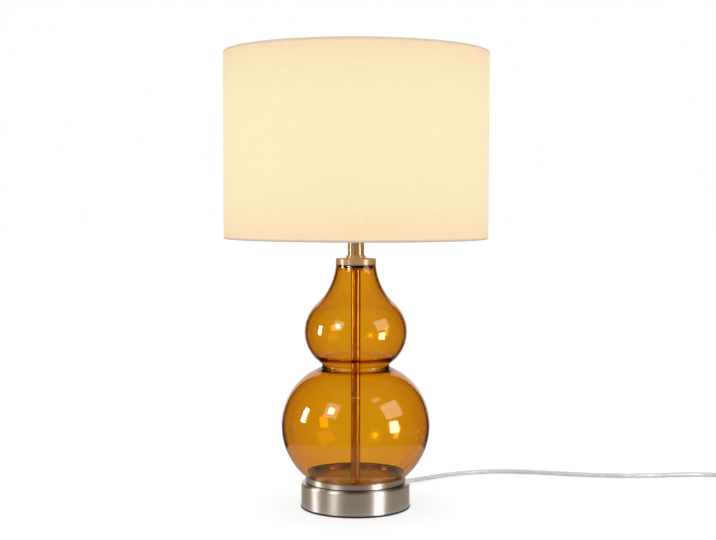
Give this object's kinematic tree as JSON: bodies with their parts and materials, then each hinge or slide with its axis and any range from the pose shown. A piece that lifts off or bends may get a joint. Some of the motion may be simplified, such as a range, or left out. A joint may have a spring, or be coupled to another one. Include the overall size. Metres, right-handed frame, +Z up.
{
  "type": "table lamp",
  "caption": "Table lamp with a double gourd glass body on a round metal base, a straight drum shade, a bulb, and a flex with an inline switch and plug.",
  "frame": {"origin": "middle of the base pad's underside, on the lamp's axis", "axes": "+Z up the lamp's axis, +X to the right and +Y away from the camera in the picture"},
  "size_m": [0.6316, 0.3108, 0.482],
  "materials": {
    "felt": "matt felt",
    "nickel": "satin nickel plate",
    "iron": "rough casting",
    "zinc_steel": "zinc plated",
    "clear_pvc": "clear, slightly grey",
    "clear_rubber": "clear washer",
    "amber_glass": "clear amber, polished",
    "holder_plastic": "white",
    "porcelain": "white insulator",
    "brass": "plain brass",
    "shade_cloth": "plain weave, cream",
    "shade_film": "white lining",
    "white_wire": "white paint",
    "opal_glass": "opal white",
    "bulb_metal": "rolled cap",
    "black_glass": "black insulator",
    "core_pvc": "core sleeve",
    "tie_strap": "woven strap",
    "switch_plastic": "clear, slightly grey",
    "rocker_plastic": "white",
    "pin_metal": "nickel plated brass"
  },
  "bodies": {
    "stand": {"base_pad": "felt", "base_shell": "nickel", "base_weight": "iron", "base_washer": "zinc_steel", "base_lock_washer": "zinc_steel", "base_nut": "zinc_steel", "cord_grommet": "clear_pvc", "seat_ring": "nickel", "seat_gasket": "clear_rubber", "glass_body": "amber_glass", "lower_stem_sleeve": "nickel", "upper_stem_sleeve": "nickel", "threaded_pipe": "zinc_steel", "top_cap": "nickel", "cap_gasket": "clear_rubber", "neck_collar": "nickel", "neck_tube": "nickel", "holder_cap": "holder_plastic", "holder_nut": "zinc_steel", "holder_body": "holder_plastic", "holder_insulator": "porcelain", "screw_shell": "brass", "centre_contact": "brass", "holder_terminals": "brass", "holder_terminal_screws": "zinc_steel", "shade_ring_nut": "holder_plastic", "inner_cord": "clear_pvc", "cord_cores": "core_pvc", "cord_lead": "clear_pvc", "cord_run": "clear_pvc", "cord_coil": "clear_pvc", "cord_tail": "clear_pvc", "coil_tie": "tie_strap", "switch_lower_shell": "switch_plastic", "switch_upper_shell": "switch_plastic", "rocker_pin": "zinc_steel", "switch_contacts": "brass", "switch_screws": "zinc_steel", "plug_body": "clear_pvc", "plug_pins": "pin_metal"},
    "shade": {"shade_fabric": "shade_cloth", "shade_lining": "shade_film", "shade_top_ring": "white_wire", "shade_bottom_ring": "white_wire", "shade_carrier": "white_wire", "shade_arms": "white_wire"},
    "bulb_foot": {"bulb_contact": "bulb_metal"},
    "bulb": {"bulb_glass": "opal_glass", "bulb_cap": "bulb_metal", "bulb_insulator": "black_glass"},
    "rocker": {"switch_rocker": "rocker_plastic"}
  },
  "joints": [
    {"name": "shade_swivel", "type": "hinge", "parent": "stand", "child": "shade", "pos_m": [0, 0, 0.3197], "axis": [0, 0, 1], "continuous": true},
    {"name": "bulb_rise", "type": "slide", "parent": "stand", "child": "bulb_foot", "axis": [0, 0, 1], "range_m": [0, 0.02172]},
    {"name": "bulb_turn", "type": "hinge", "parent": "bulb_foot", "child": "bulb", "pos_m": [0, 0, 0.34], "axis": [0, 0, 1], "range_deg": [0, 2160]},
    {"name": "rocker_tilt", "type": "hinge", "parent": "stand", "child": "rocker", "pos_m": [0.474, 0.06, 0.0152], "axis": [1, 0, 0], "range_deg": [-14, 0]}
  ],
  "couplings": [
    {"joint": "bulb_turn", "follows": "bulb_rise", "rad_per_m": 1735.7}
  ]
}
